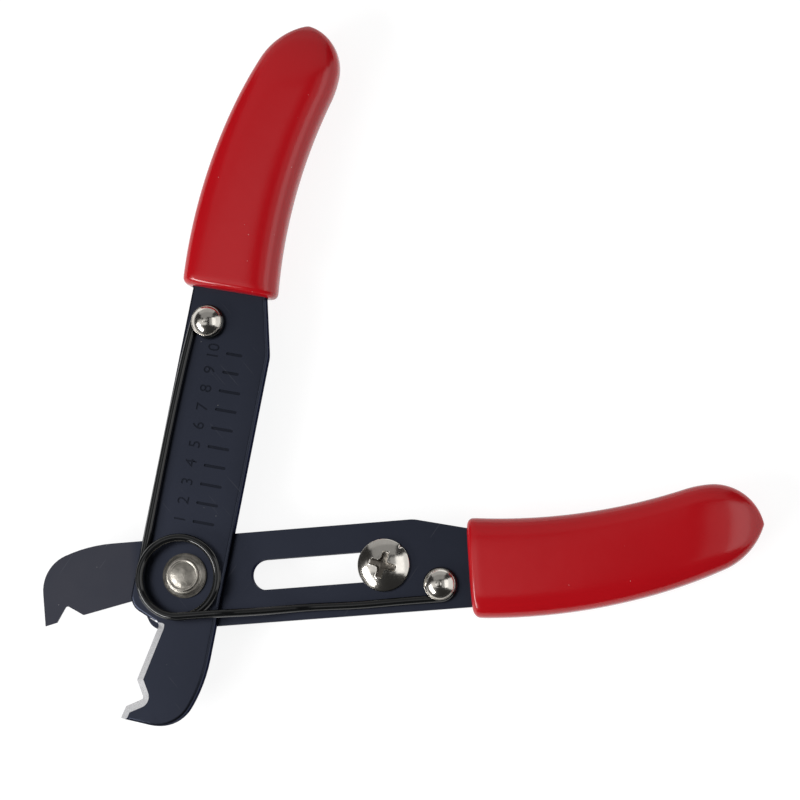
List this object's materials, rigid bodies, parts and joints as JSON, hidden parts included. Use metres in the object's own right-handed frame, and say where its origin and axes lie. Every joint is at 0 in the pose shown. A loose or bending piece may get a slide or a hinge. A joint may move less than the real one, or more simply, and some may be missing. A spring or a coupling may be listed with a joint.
{
  "type": "adjustable wire stripper",
  "caption": "Hand wire stripper and cutter: crossed plates on a pivot rivet, notched jaws, a return spring, dipped grips and a sliding stop screw that sets the wire size.",
  "frame": {"origin": "on the pivot axis, at the flat back of the pivot rivet", "axes": "+X along the rear handle towards its grip, +Z from the back of the tool to its scale side, +Y to the side the other handle stands on"},
  "size_m": [0.1281, 0.1235, 0.0116],
  "materials": {
    "plate_finish": "blue-black oxide, satin, with bare ground steel on the cutting bevel",
    "red_vinyl": "dipped vinyl, glossy, slightly translucent at its edges",
    "nickel_plate": "bright nickel plate, a little warm",
    "zinc_plate": "zinc plate",
    "spring_wire": "black spring wire, glossy"
  },
  "bodies": {
    "rear_handle": {"rear_plate": "plate_finish", "rear_grip": "red_vinyl", "rear_spring_rivet": "nickel_plate", "pivot_rivet": "nickel_plate", "pivot_washer": "nickel_plate", "return_spring": "spring_wire"},
    "front_handle": {"front_plate": "plate_finish", "front_grip": "red_vinyl", "front_spring_rivet": "nickel_plate"},
    "stop_carriage": {"stop_nut": "zinc_plate", "stop_lock_washer": "zinc_plate"},
    "stop_head": {"stop_screw": "nickel_plate"}
  },
  "joints": [
    {"name": "handle_hinge", "type": "hinge", "parent": "rear_handle", "child": "front_handle", "pos_m": [0, 0, 0.0046], "axis": [0, 0, 1], "range_deg": [-51, 0], "stiffness_Nm_per_rad": 0.4, "deforming": ["return_spring"]},
    {"name": "stop_slide", "type": "slide", "parent": "rear_handle", "child": "stop_carriage", "axis": [-1, 0, 0], "range_m": [0, 0.0085]},
    {"name": "screw_turn", "type": "hinge", "parent": "stop_carriage", "child": "stop_head", "pos_m": [0.0353, -0.00073, 0], "axis": [0, 0, 1], "continuous": true}
  ]
}
